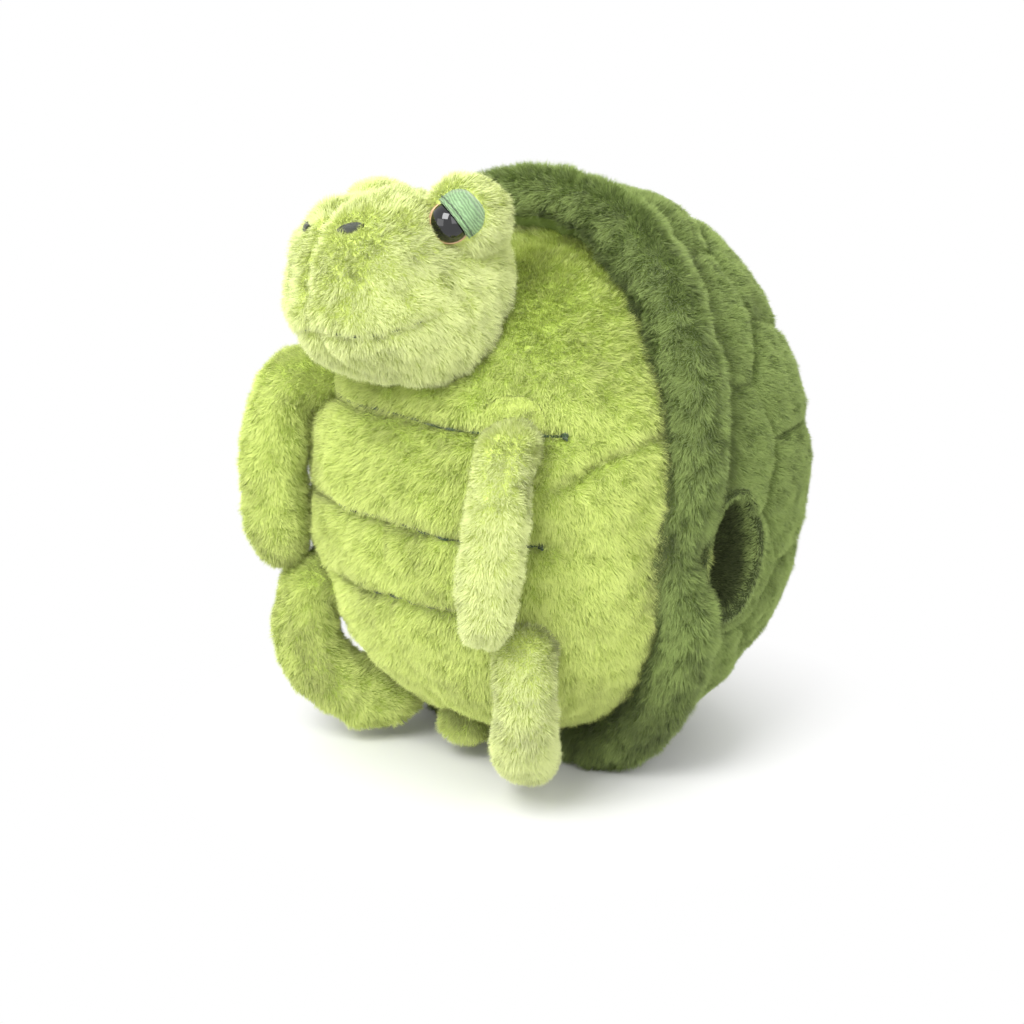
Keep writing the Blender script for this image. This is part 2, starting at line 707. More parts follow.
class TURTLE_OT_belly(bpy.types.Operator):
    """Belly cover of light pile, drawn in along the stitched rows"""

    bl_idname = "turtle.belly"
    bl_label = "Belly"

    def execute(self, context):
        way = ball_grid(np.linspace(0, math.radians(87), 120), 260)
        grid = body_points(way.reshape(-1, 3)).reshape(way.shape)
        cover = Cover(grid, first_pole=True, flip=True)

        def comb(points):
            local = points - MIDDLE
            return vectors(local[:, 0] * 3, 0, -0.5)

        def share(points):
            hidden = rim_depth(points) > 0.003
            return np.where(hidden, 0, 1 - 0.62 * row_near(points, 0.0020))

        def dark(points):
            beside_rim = 0.5 * bell(np.minimum(rim_depth(points), 0.0), 0.006)
            under_chin = 0.15 * bell(points[:, 0], 0.06) * ease((points[:, 2] - 0.228) / 0.03)
            local = points - MIDDLE
            fold = fold_near(local[:, 0], local[:, 2])
            seam = 0.4 * bell(local[:, 0], 0.002) * ease((0.03 - local[:, 2]) / 0.03)
            return beside_rim + under_chin + seam + 0.5 * fold + 0.75 * row_near(points, 0.0034)

        nodes = ("belly_cover", "body_stuffing")
        dress("belly", cover, "body", "light", nodes, pile_look(), (comb, share, dark), 101)
        return {"FINISHED"}


class TURTLE_OT_shell(bpy.types.Operator):
    """Shell cover of dark pile, quilted into scutes, with a mouth in each side"""

    bl_idname = "turtle.shell"
    bl_label = "Shell"

    def execute(self, context):
        way = ball_grid(np.linspace(math.radians(85), math.pi, 170), 330)
        grid = body_points(way.reshape(-1, 3)).reshape(way.shape)
        cover = Cover(grid, last_pole=True, flip=True)
        cover.keep(pocket_share(cover.middles()) > 1.0)

        def comb(points):
            local = points - MIDDLE
            return vectors(local[:, 0] * 1.5, 0.30, -0.6)

        def share(points):
            local = points - MIDDLE
            hidden = rim_depth(points) > 0.003
            near = bell(seam_distance(unit(local)), 0.003)
            return np.where(hidden, 0, 1 - 0.45 * near)

        def dark(points):
            quilting = 0.50 * bell(seam_distance(unit(points - MIDDLE)), 0.0022)
            beyond = np.minimum(rim_depth(points), 0.0)
            beside_rim = 0.6 * bell(beyond, 0.007) + 0.35 * bell(beyond, 0.030)
            return quilting + beside_rim + 0.6 * bell(pocket_share(points) - 1, 0.15)

        panels = ["shell_panel_" + side for side in ("upper", "lower", "left", "right")]
        nodes = ("shell_cover", *panels)
        dress("shell", cover, "body", "dark", nodes, pile_look(0.8), (comb, share, dark), 201)
        return {"FINISHED"}


class TURTLE_OT_rim(bpy.types.Operator):
    """Padded roll round the seam, with longer pile"""

    bl_idname = "turtle.rim"
    bl_label = "Rim"

    def execute(self, context):
        turn = full_turn(420)
        middle = rim_middle(turn)
        ahead = unit(np.roll(middle, -2, 0) - np.roll(middle, 2, 0))
        out = (middle - MIDDLE) * np.array([1, 0, 1])
        out = unit(out - ahead * (out * ahead).sum(1, keepdims=True))
        front = np.cross(ahead, out)
        a = full_turn(44)[:, None, None]
        ring = np.cos(a) * out[None] + np.sin(a) * front[None]
        base = middle[None] + ring * RIM_RADIUS
        flat = base.reshape(-1, 3)
        lumps = 0.0011 * ripple(flat, 0.050, 31) + 0.0007 * ripple(flat, 0.018, 32)
        grid = middle[None] + ring * (RIM_RADIUS - 0.0005 + lumps.reshape(base.shape[:2])[..., None])
        grid[..., 2] = np.maximum(grid[..., 2], FLOOR_GAP)
        grid = np.concatenate([grid, grid[:1]])
        cover = facing_out(grid, MIDDLE)

        def beside_parting(points):
            """How far points lie behind the line where the pile parts."""
            return rim_offset(points)[1] - 0.003

        def comb(points):
            local = points - MIDDLE
            return vectors(local[:, 0] * 1.2, beside_parting(points) * 22, local[:, 2] * 0.8 - 0.16)

        def share(points):
            return np.where(body_depth(points) > 0.002, 0, 1.0)

        def dark(points):
            wavy = beside_parting(points) + 0.0012 * ripple(points, 0.02, 33)
            parting = 0.35 * bell(wavy, 0.0014) * (rim_offset(points)[0] > 0)
            under = 0.75 * ease((0.095 - points[:, 2]) / 0.07)
            return 0.8 * bell(np.minimum(body_depth(points), 0.0), 0.006) + parting + under

        look = pile_look(1.0, rim=True)
        dress("rim", cover, "body", "dark", ("shell_rim",), look, (comb, share, dark), 301)
        return {"FINISHED"}


class TURTLE_OT_pockets(bpy.types.Operator):
    """Pile-lined hand pockets with a turned-in edge"""

    bl_idname = "turtle.pockets"
    bl_label = "Pockets"

    def execute(self, context):
        colours = settings()[1]
        root, tip = tuple(colours.dark_root), tuple(colours.dark_tip)
        backing = finish_once("pocket_backing", backing_finish, tuple(c * 0.30 for c in root))
        hairs = finish_once("pocket_pile", pile_finish, tuple(c * 0.3 for c in root), tip, 0.07)
        turn = full_turn(96)
        y = POCKET_HALVES[0] * np.cos(turn)
        z = POCKET_HALVES[1] * np.sin(turn)
        low, high = np.full(96, 0.05), np.full(96, 0.20)
        x = cloth_at(lambda x: vectors(x, y + POCKET_AT[0], z + POCKET_AT[1]), low, high)
        out = unit(np.stack([y / POCKET_HALVES[0] ** 2, z / POCKET_HALVES[1] ** 2], -1))
        rows = []
        for theta in np.linspace(0, math.pi, 10):
            reach = POCKET_LIP * (0.7 + math.cos(theta))
            stand = x + POCKET_LIP * math.sin(theta) - 0.001
            rows.append(vectors(stand, y + out[:, 0] * reach, z + out[:, 1] * reach))
        for share in np.linspace(0.03, 1, 22):
            size, depth = math.cos(share * math.pi / 2), POCKET_DEPTH * math.sin(share * math.pi / 2)
            stand = x + (x.mean() - x) * ease(share * 2) - depth
            inner_y, inner_z = y - out[:, 0] * POCKET_LIP * 0.3, z - out[:, 1] * POCKET_LIP * 0.3
            rows.append(vectors(stand, inner_y * size, inner_z * size))
        grid = np.stack(rows) + np.array([0, POCKET_AT[0], POCKET_AT[1]])
        for name, side in SIDES:
            cover = Cover(mirrored(grid, side), last_pole=True, flip=side < 0)
            piece = cover_piece(f"pocket_{name}", cover, backing, "body")
            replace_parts(piece, "pocket_lining_" + name)

            def comb(points):
                return vectors(np.full(len(points), -side), 0.0, -0.2)

            def dark(points):
                return ease((np.abs(x.mean()) + 0.004 - np.abs(points[:, 0])) / 0.012)

            look = pile_look(0.55)
            pile(f"pocket_{name}", cover, hairs, "body", "pile_dark", look, comb, None, dark, seed=401)
        return {"FINISHED"}


def head_out(local):
    """Points of the head's own axes, in the frame's."""
    return local @ HEAD_TURN.T + HEAD_MIDDLE


def head_in(points):
    """Points of the frame, in the head's own axes."""
    return (points - HEAD_MIDDLE) @ HEAD_TURN


def mouth_rise(turn):
    """The mouth's rise at a turn to the side: flat in front, lifting towards its corners."""
    share = np.clip(np.abs(turn) / MOUTH_TURN, 0, 1)
    return MOUTH_DROP + (MOUTH_CORNER - MOUTH_DROP) * share**4


def face_way(turn, rise):
    """Unit vectors turned out to a side and risen, in the head's axes."""
    return vectors(np.sin(turn) * np.cos(rise), -np.cos(turn) * np.cos(rise), np.sin(rise))


def face_angles(way):
    """The turn to a side and the rise of unit vectors in the head's axes."""
    return np.arctan2(way[:, 0], -way[:, 1]), np.arcsin(np.clip(way[:, 2], -1, 1))


def nostril_way(side):
    """The way from the head's middle to a nostril."""
    return face_way(side * NOSTRIL_TURN, NOSTRIL_RISE)


def mound_radius(way, middle, halves):
    """Far side of an ellipsoid off the origin along unit vectors, zero where they miss it."""
    across = ((way / halves) ** 2).sum(1)
    along = (way * middle / halves**2).sum(1)
    rest = ((middle / halves) ** 2).sum() - 1
    inside = along * along - across * rest
    hit = (inside > 0) & (along > 0)
    return np.where(hit, (along + np.sqrt(np.maximum(inside, 0))) / across, 0.0)


def head_radius(way):
    """Rounded box with the two eye mounds by a smooth maximum, less the muzzle's middle seam, the
    mouth's crease, the nostrils' and the eyes' dents, and with lumps."""
    radius = ((np.abs(way / HEAD_HALVES) ** HEAD_POWER).sum(1)) ** (-1 / HEAD_POWER)
    for side in (-1, 1):
        mound = mound_radius(way, mirrored(MOUND_MIDDLE, side), MOUND_HALVES)
        joined = (radius + mound + np.sqrt((radius - mound) ** 2 + 0.006**2)) / 2
        radius = np.where(mound > 0, joined, radius)
    turn, rise = face_angles(way)
    place = way * radius[:, None]
    front = ease((-way[:, 1] - 0.15) / 0.3)
    radius = radius - MUZZLE_SEAM * bell(place[:, 0], MUZZLE_SEAM_WIDTH) * front
    above = ease((rise - MOUTH_DROP) / 0.1)
    radius = radius - CHIN_SEAM * bell(place[:, 0], CHIN_SEAM_WIDTH) * front * (1 - above)
    over = rise - mouth_rise(turn)
    mouth = bell(over * radius, MOUTH_CREASE_WIDTH) * ease((MOUTH_TURN + 0.1 - np.abs(turn)) / 0.15)
    radius = radius - MOUTH_CREASE * mouth
    lip = bell((over - 0.16) * radius, LIP_WIDTH) * ease((MOUTH_TURN - np.abs(turn)) / 0.3)
    radius = radius + LIP * lip
    for side in (-1, 1):
        for middle, dent, width in (
            (nostril_way(side), NOSTRIL_DENT, NOSTRIL_DENT_WIDTH),
            (unit(mirrored(EYE_PLACE, side)), EYE_DENT, EYE_DENT_WIDTH),
        ):
            gap = np.arccos(np.clip((way * middle).sum(1), -1, 1)) * radius
            radius = radius - dent * bell(gap, width)
    return radius + 0.0012 * ripple(way, 0.65, 41) + 0.0006 * ripple(way, 0.3, 42)


def eye_axis(side):
    """The way an eye looks: out to its side and a little up."""
    level = math.cos(EYE_RISE)
    way = np.array([side * math.sin(EYE_OUT) * level, -math.cos(EYE_OUT) * level, math.sin(EYE_RISE)])
    return HEAD_TURN @ way


def eye_middle(side):
    """The middle of an eye's ball; the right one mirrors the left."""
    return head_out(mirrored(EYE_PLACE, side))


LID_WAY = unit(np.array([0.36, 0.53, 0.77]))
LID_COSINE = 0.18
LID_EDGE = math.acos(LID_COSINE)
LID_LIFT, LID_SWELL, LID_HEM = 0.0022, 0.0055, 0.0008
LID_STITCHES, LID_STITCH_ANGLE = 22, 0.16
PUPIL_WAY = unit(np.array([0.984, -0.168, 0.064]))
IRIS_LEAN, IRIS_HALVES = np.array([0.0, 0.0, -0.34]), (0.0008, 0.0010)


def lid_radius(cosine):
    """The lid's outside, from the eye's middle: it rises from its edge to lie on the mound."""
    return EYE_RADIUS + LID_LIFT + LID_SWELL * ease((cosine - LID_COSINE) / (1 - LID_COSINE))


class TURTLE_OT_head(bpy.types.Operator):
    """Head cover of light pile with two eye mounds and a seamed muzzle"""

    bl_idname = "turtle.head"
    bl_label = "Head"

    def execute(self, context):
        way = ball_grid(np.linspace(0, math.pi, 150), 230)
        flat = way.reshape(-1, 3)
        grid = head_out(flat * head_radius(flat)[:, None]).reshape(way.shape)
        cover = Cover(grid, first_pole=True, last_pole=True, flip=True)
        cover.keep(body_depth(cover.middles()) < 0.004)

        def comb(points):
            local = head_in(points)
            return vectors(local[:, 0] * 6, 0.55, local[:, 2] * 3 - 0.35) @ HEAD_TURN.T

        def share(points):
            local = head_in(points)
            size = np.ones(len(points))
            for side in (-1, 1):
                gap = local - mirrored(EYE_PLACE, side)
                distance = np.linalg.norm(gap, axis=1)
                cosine = (gap @ mirrored(LID_WAY, side)) / np.maximum(distance, 1e-6)
                bare = np.where(cosine > 0.1, lid_radius(cosine) - 0.0012, EYE_RADIUS - 0.0005)
                size *= ease((distance - bare) / 0.003)
                away = np.linalg.norm(unit(local) - nostril_way(side), axis=1) * 0.058
                size *= 0.25 + 0.75 * ease((away - 0.003) / 0.004)
            turn, rise = face_angles(unit(local))
            on = bell((rise - mouth_rise(turn)) * 0.052, 0.002) * (np.abs(turn) < MOUTH_TURN)
            size *= 1 - 0.18 * on
            return np.where(body_depth(points) > 0.0, 0, size)

        def dark(points):
            local = head_in(points)
            turn, rise = face_angles(unit(local))
            patchy = 0.42 * ease(ripple(points, 0.016, 44) * 0.8)
            mouth = patchy * bell((rise - mouth_rise(turn)) * 0.052, 0.0026) * (np.abs(turn) < MOUTH_TURN)
            muzzle = 0.5 * bell(local[:, 0], 0.0022) * (local[:, 1] < -0.02) * (local[:, 2] < 0.03)
            return mouth + muzzle + 0.6 * bell(np.minimum(body_depth(points), 0.0), 0.008)

        nodes = ("head_cover", "head_stuffing")
        dress("head", cover, "head", "pale", nodes, pile_look(0.95), (comb, share, dark), 501)
        return {"FINISHED"}


def cap_grid(middle, axis, radius, start, stop, rows, columns):
    """Sphere rows: middle + radius (cos a axis + sin a ring), a from start to stop."""
    axis = unit(axis)
    angle = np.linspace(start, stop, rows)[:, None, None]
    ring = around(axis, columns, (0.31, 0.17, 0.93))
    return middle + radius * (np.cos(angle) * axis + np.sin(angle) * ring)


def tube_cover(path, radius, columns=8):
    """A closed tube of circles, each square to the path, shrunk to nothing at both ends."""
    size = np.full((len(path), 1, 1), radius)
    size[[0, -1]] = 0
    ring = around(unit(np.gradient(path, axis=0)), columns, (0.13, 0.07, 1.0))
    return Cover(path[:, None] + ring * size, first_pole=True, last_pole=True, flip=True)


def dome_finish(iris, pupil):
    """Glossy dome: black on the pupil's side of each eye's middle, and iris behind it."""
    black = (0.006, 0.006, 0.007)
    made = Finish("eye_glass", black, 0.06, coat_weight=0.4, coat_roughness=0.03)
    made.feed("IOR", 1.5)
    place = made.node("TexCoord").outputs["Object"]
    sides = []
    for side in (1, -1):
        apart = made.node("VectorMath", {"operation": "SUBTRACT"}, i0=place, i1=tuple(eye_middle(side)))
        way = tuple(pupil[side])
        near = made.node("VectorMath", {"operation": "DOT_PRODUCT"}, i0=apart.outputs[0], i1=way)
        sides.append(made.value(near.outputs["Value"]).above(0.0))
    made.feed("Base Color", made.mix(sides[0].math("MAXIMUM", *sides), iris, black))
    return made.material


def hoop_finish(peach):
    """The iris ring's peach, a little uneven."""
    made = Finish("iris_ring", peach, 0.2, coat_weight=0.6)
    made.feed("Base Color", made.mix(made.noise(300.0), peach, tuple(c * 0.7 for c in peach)))
    return made.material


def washer_finish():
    """The lock washers' white plastic."""
    made = Finish("washer_plastic", (0.75, 0.75, 0.74), 0.5)
    made.feed("Roughness", made.noise(400.0) * 0.2 + 0.4)
    return made.material


class TURTLE_OT_eyes(bpy.types.Operator):
    """Domed eyes with a crescent of iris, satin eyelids and their topstitching"""

    bl_idname = "turtle.eyes"
    bl_label = "Eyes"

    def execute(self, context):
        colours = settings()[1]
        pupil = {side: HEAD_TURN @ mirrored(PUPIL_WAY, side) for _, side in SIDES}
        glass = dome_finish(tuple(colours.iris), pupil)
        peach = hoop_finish(tuple(colours.iris))
        satin = satin_finish("lid_satin", tuple(colours.satin))
        for name, side in SIDES:
            middle, lid_way = eye_middle(side), HEAD_TURN @ mirrored(LID_WAY, side)
            cap = cap_grid(middle, eye_axis(side), EYE_RADIUS, 0, EYE_END, 30, 64)
            dome = facing_out(cap, middle, first_pole=True)
            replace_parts(cover_piece(f"eyeball_{name}", dome, glass, "head"), "eye_" + name)
            self.add_lid(name, middle, lid_way, satin)
            self.add_lid_stitching(name, middle, lid_way, colours.satin)
            flat = unit(eye_axis(side) + 0.30 * pupil[side] + HEAD_TURN @ IRIS_LEAN)
            self.add_hoop(name, middle, flat, peach)
        plastic = washer_finish()
        for name, _ in SIDES:
            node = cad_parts["eye_washer_" + name]
            node.data.materials.clear()
            node.data.materials.append(plastic)
        return {"FINISHED"}

    def add_lid(self, name, middle, lid_way, satin):
        """A cap of satin over the dome: its swelled outside, its rolled hem and its inside."""
        outer = cap_grid(middle, lid_way, 1.0, 0, LID_EDGE, 26, 72) - middle
        outer = middle + outer * lid_radius(outer @ lid_way)[..., None]
        swell = 0.0003 * ripple(outer.reshape(-1, 3), 0.008, 61).reshape(outer.shape[:2])
        outer = outer + unit(outer - middle) * swell[..., None]
        last = outer[-1]
        inward = unit(middle - last)
        down = -unit(np.cross(np.cross(lid_way, -inward), -inward))
        theta = np.linspace(0.3, math.pi, 6)[:, None, None]
        roll = last + (down * np.sin(theta) + inward * (1 - np.cos(theta))) * LID_HEM
        inner = cap_grid(middle, lid_way, EYE_RADIUS + LID_HEM, LID_EDGE, 0, 12, 72)
        grid = np.concatenate([outer, roll, inner])
        lid = facing_out(grid, middle, first_pole=True, last_pole=True)
        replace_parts(cover_piece(f"lid_{name}", lid, satin, "head"), "eyelid_" + name)

    def add_lid_stitching(self, name, middle, lid_way, satin):
        """Topstitching beside the lid's edge."""
        angle = LID_EDGE - LID_STITCH_ANGLE
        ring = cap_grid(middle, lid_way, lid_radius(math.cos(angle)) + 0.0004, 0, angle, 2, 300)[-1]
        stitch = np.sin(np.linspace(0, 2 * np.pi * LID_STITCHES, 300))
        ring = ring + unit(ring - middle) * (0.0004 * (stitch - 0.4))[:, None]
        seam = tube_cover(np.concatenate([ring, ring[:1]]), 0.00032, 6)
        pale = finish_once("lid_thread", thread_finish, tuple(c * 0.30 for c in satin))
        cover_piece(f"lid_stitching_{name}", seam, pale, "head")

    def add_hoop(self, name, middle, flat, peach):
        """The iris ring, an oval tube round the dome, square to flat."""
        ring = around(flat, 64, (0.3, 0.2, 0.9))
        theta = np.linspace(0, 2 * np.pi, 13)[:, None, None]
        out = EYE_RADIUS * 0.97 + IRIS_HALVES[0] * np.cos(theta)
        rise = EYE_RADIUS * 0.10 + IRIS_HALVES[1] * np.sin(theta)
        hoop = Cover(middle + flat * rise + ring * out, flip=True)
        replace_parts(cover_piece(f"iris_{name}", hoop, peach, "head"), "eye_iris_" + name)


def nostril_finish():
    """Dark strands of embroidery."""
    made = Finish("nostril_thread", (0.012, 0.02, 0.008), 0.7, sheen_weight=0.3)
    lines = made.node("TexWave", Vector=made.node("TexCoord").outputs["Object"], Scale=700.0)
    strands = made.value(lines.outputs[1])
    made.feed("Base Color", made.mix(strands, (0.008, 0.014, 0.006), (0.03, 0.045, 0.02)))
    made.bump(strands, 0.0004)
    return made.material


class TURTLE_OT_face(bpy.types.Operator):
    """Embroidered nostrils and the mouth's stitching"""

    bl_idname = "turtle.face"
    bl_label = "Face"

    def execute(self, context):
        dark = nostril_finish()
        for name, side in SIDES:
            way = nostril_way(side)
            middle = way * (head_radius(way[None])[0] + NOSTRIL_LIFT)
            across = unit(np.array([side, 0.0, 0.0]) - way * way[0] * side)
            over = np.cross(way, across)
            tilt = NOSTRIL_TILT * side
            long = across * math.cos(tilt) + over * math.sin(tilt)
            short = over * math.cos(tilt) - across * math.sin(tilt)
            p, t = np.meshgrid(np.linspace(0, math.pi, 18), full_turn(40), indexing="ij")
            shares = vectors(np.sin(p) * np.cos(t), np.sin(p) * np.sin(t), np.cos(p))
            local = middle + (shares * NOSTRIL_HALVES) @ np.stack([long, short, way])
            grid = head_out(local.reshape(-1, 3)).reshape(local.shape)
            spot = facing_out(grid, head_out(middle), first_pole=True, last_pole=True)
            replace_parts(cover_piece(f"nose_{name}", spot, dark, "head"), "nostril_" + name)
        turn = np.linspace(-1, 1, 520) * MOUTH_TURN
        way = face_way(turn, mouth_rise(turn))
        stitch = turn * 0.058 * 2 * np.pi / MOUTH_STITCH
        height = -0.0010 + 0.0016 * np.cos(stitch) + 0.0004 * ripple(way, 0.3, 81)
        path = head_out(way * (head_radius(way) + height)[:, None])
        mouth = cover_piece("mouth_thread", tube_cover(path, MOUTH_RADIUS), thread(), "head")
        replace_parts(mouth, "mouth_stitching")
        return {"FINISHED"}


class TURTLE_OT_stitching(bpy.types.Operator):
    """Three stitched rows across the belly, each with a knot at its end"""

    bl_idname = "turtle.stitching"
    bl_label = "Stitching"

    def execute(self, context):
        for name, (height, half_length) in ROWS.items():
            x = np.linspace(-half_length, half_length, 560)
            level = vectors(x, MIDDLE[1], MIDDLE[2] + height)
            y = cloth_at(lambda y: level - vectors(0, y, 0), np.full(560, 0.0), np.full(560, 0.20))
            place = level - vectors(0, y, 0)
            sag = 0.0012 * ripple(place, 0.05, 91)
            lift = (0.0002 if name == "lower" else 0.0012) + 0.0010 * np.cos(x * 2 * np.pi / ROW_STITCH)
            place[:, 2] += sag
            way = unit(place - MIDDLE)
            path = place + way * lift[:, None]
            end = path[-1]
            t = np.linspace(0, 2 * np.pi * 2.4, 60)
            knot = end + 0.0011 * vectors(np.cos(t) * 0.9, -0.8 - 0.8 * np.sin(1.7 * t), np.sin(t))
            tail = knot[-1] + np.linspace(0, 1, 20)[:, None] * np.array([0.004, -0.0012, -0.0022])
            path = np.concatenate([path, knot, tail])
            tube = tube_cover(path, ROW_RADIUS)
            row = cover_piece(f"row_{name}", tube, thread(), "body")
            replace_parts(row, "belly_stitching_" + name)
        return {"FINISHED"}


def smooth_path(points, count):
    """A curve through the points, (2b + (c-a)t + (2a-5b+4c-d)t^2 + (3b-a-3c+d)t^3) / 2 on each
    stretch, read at count places that lie closer together towards its end."""
    ends = np.concatenate([[points[0] * 2 - points[1]], points, [points[-1] * 2 - points[-2]]])
    t = np.linspace(0, 1, 40, endpoint=False)[:, None]
    fine = [
        0.5 * (2 * b + (c - a) * t + (2 * a - 5 * b + 4 * c - d) * t**2 + (3 * b - a - 3 * c + d) * t**3)
        for a, b, c, d in zip(ends, ends[1:], ends[2:], ends[3:], strict=False)
    ]
    fine = np.concatenate([*fine, points[-1:]])
    lengths = np.concatenate([[0], np.cumsum(np.linalg.norm(np.diff(fine, axis=0), axis=1))])
    share = np.sin(np.linspace(0, math.pi / 2, count))
    return np.stack([np.interp(share * lengths[-1], lengths, fine[:, k]) for k in range(3)], -1), share


def level_way(angle, side):
    """A level unit vector, turned out from the front to a side."""
    return np.array([side * math.sin(angle), -math.cos(angle), 0.0])


def reach_at(way, height):
    """How far the body reaches along a level direction at a height over the ball's middle."""
    axis = np.array([0.0, 0.0, MIDDLE[2] + height])
    return cloth_at(lambda reach: axis + way * reach[:, None], np.zeros(1), np.full(1, 0.2))[0]


def limb_cover(points, radius, way, notch, seed):
    """A sewn tube along a path in an upright plane, slimmer at its root and round at its tip, with a
    seam on its outer side and a notch in its tip. What lies inside the body is drawn out to it."""
    path, share = smooth_path(points, 90)
    ahead = unit(np.gradient(path, axis=0))
    side = unit(np.cross(way, [0, 0, 1.0]))
    out = unit(np.cross(side, ahead))
    size = radius * (0.92 + 0.08 * ease(share / 0.30))
    past = np.clip((share - 0.80) / 0.20, 0, 1)
    size = size * np.sqrt(np.maximum(1 - past**2.6, 0)) + 0.0007 * ripple(path, 0.05, seed)
    size[[0, -1]] = 0
    turn = full_turn(56)[None, :]
    wide, high = np.cos(turn) * 1.06, np.sin(turn) * 0.95
    crease = bell(np.abs(wide), 0.14) * (high > 0)
    scale = size[:, None] * (1 - 0.055 * crease)
    scale = scale * (1 - notch * bell(wide, 0.35) * ease((share[:, None] - 0.82) / 0.15))
    grid = path[:, None] + scale[..., None] * (wide[..., None] * side + high[..., None] * out[:, None])
    flat = grid.reshape(-1, 3)
    depth = body_depth(flat)
    flat = np.where(depth[:, None] > -0.0004, flat + unit(flat - MIDDLE) * (depth + 0.0004)[:, None], flat)
    lumps = 0.0008 * ripple(flat, 0.028, seed + 1)
    flat = flat + unit(flat - np.repeat(path, 56, 0)) * (lumps * (depth < -0.004))[:, None]
    flat[:, 2] = np.maximum(flat[:, 2], FLOOR_GAP)
    return facing_out(flat.reshape(grid.shape), path.mean(0), first_pole=True, last_pole=True)


def add_limb(name, points, radius, way, notch, kind, seed):
    """A limb's cover and its pile, combed along it and darker in its fold and low down."""
    cover = limb_cover(points, radius, way, notch, seed)
    path, _ = smooth_path(points, 60)
    ahead = unit(np.gradient(path, axis=0))

    def comb(places):
        nearest = np.empty(len(places), int)
        for start in range(0, len(places), 20000):
            part = places[start:start + 20000]
            nearest[start:start + 20000] = ((part[:, None] - path[None]) ** 2).sum(-1).argmin(1)
        return ahead[nearest]

    def share(places):
        return np.where(body_depth(places) > -0.0015, 0, 1.0)

    def dark(places):
        low = 0.22 * ease((0.17 - places[:, 2]) / 0.11)
        return 0.55 * bell(np.minimum(body_depth(places), 0.0), 0.009) + low

    nodes = (name + "_cover", name + "_stuffing")
    dress(name, cover, name, kind, nodes, pile_look(0.9), (comb, share, dark), seed)


class TURTLE_OT_limbs(bpy.types.Operator):
    """Arms that hang bent, legs that curl in under the belly, and the tail"""

    bl_idname = "turtle.limbs"
    bl_label = "Limbs"

    def execute(self, context):
        up = np.array([0, 0, 1.0])
        kinds = {1: "pale", -1: "light"}
        axis = np.array([0.0, MIDDLE[1], 0.0])
        for number, (name, row) in enumerate(ARMS.items()):
            side, angle, height, drop, lean_in, girth, reach = row
            way = level_way(angle, side)
            seat = reach_at(way, height)
            level = axis + up * (MIDDLE[2] + height)
            inward = np.cross(way, up) * side
            points = [level + way * (seat - ROOT_DEPTH)]
            for out, down in ARM_PATH:
                place = level + way * (seat + (reach - seat) * out) - up * drop * down
                points.append(place + inward * lean_in * down)
            add_limb(name, np.array(points), girth, way, 0.10, kinds[side], 601 + 40 * number)
        for number, (name, (side, girth, reach)) in enumerate(LEGS.items()):
            way = level_way(LEG_ANGLE, side)
            seat = reach_at(way, LEG_HEIGHT)
            top = MIDDLE[2] + LEG_HEIGHT
            drop, back = top - LEG_LOW, reach - LEG_TIP
            points = [(seat - ROOT_DEPTH, 0.0)]
            points += [(seat + (reach - seat) * out, down) for out, down in LEG_OUT]
            points += [(reach - back * out, down) for out, down in LEG_BACK]
            path = np.array([axis + way * out + up * (top - drop * down) for out, down in points])
            add_limb(name, path, girth, way, 0.22, kinds[side], 701 + 40 * number)
        forward = np.array([0.0, -1.0, 0.0])
        path = np.array([
            axis + forward * (TAIL_FORWARD - back) + up * (TAIL_ROOT + (TAIL_LOW - TAIL_ROOT) * down)
            for back, down in TAIL_PATH
        ])
        add_limb("tail", path, TAIL_RADIUS, forward, 0.0, "light", 801)
        return {"FINISHED"}


# The stage: lamps' places, sizes and watts, and the camera that the photograph was taken from
LAMPS = {
    "key": ((0.35, -1.25, 1.35), 0.9, 24.0),
    "fill": ((1.6, -0.5, 0.9), 1.2, 9.5),
    "low": ((-0.2, -1.5, 0.35), 1.0, 5.0),
    "back": ((-0.6, 1.4, 1.3), 1.2, 10.0),
}
AMBIENT = 0.80
FLOOR_SIZE, FLOOR_CLEAR, FLOOR_FADE = 4.0, 0.11, 0.11
CAMERA_TURN, CAMERA_RISE = math.radians(45), math.radians(16)
CAMERA_DISTANCE, CAMERA_LENS, SENSOR_WIDTH, FRAME_PIXELS = 1.217, 75.0, 36.0, 1024
BODY_RIGHT_PIXELS, BODY_ABOVE_PIXELS = 28, 37


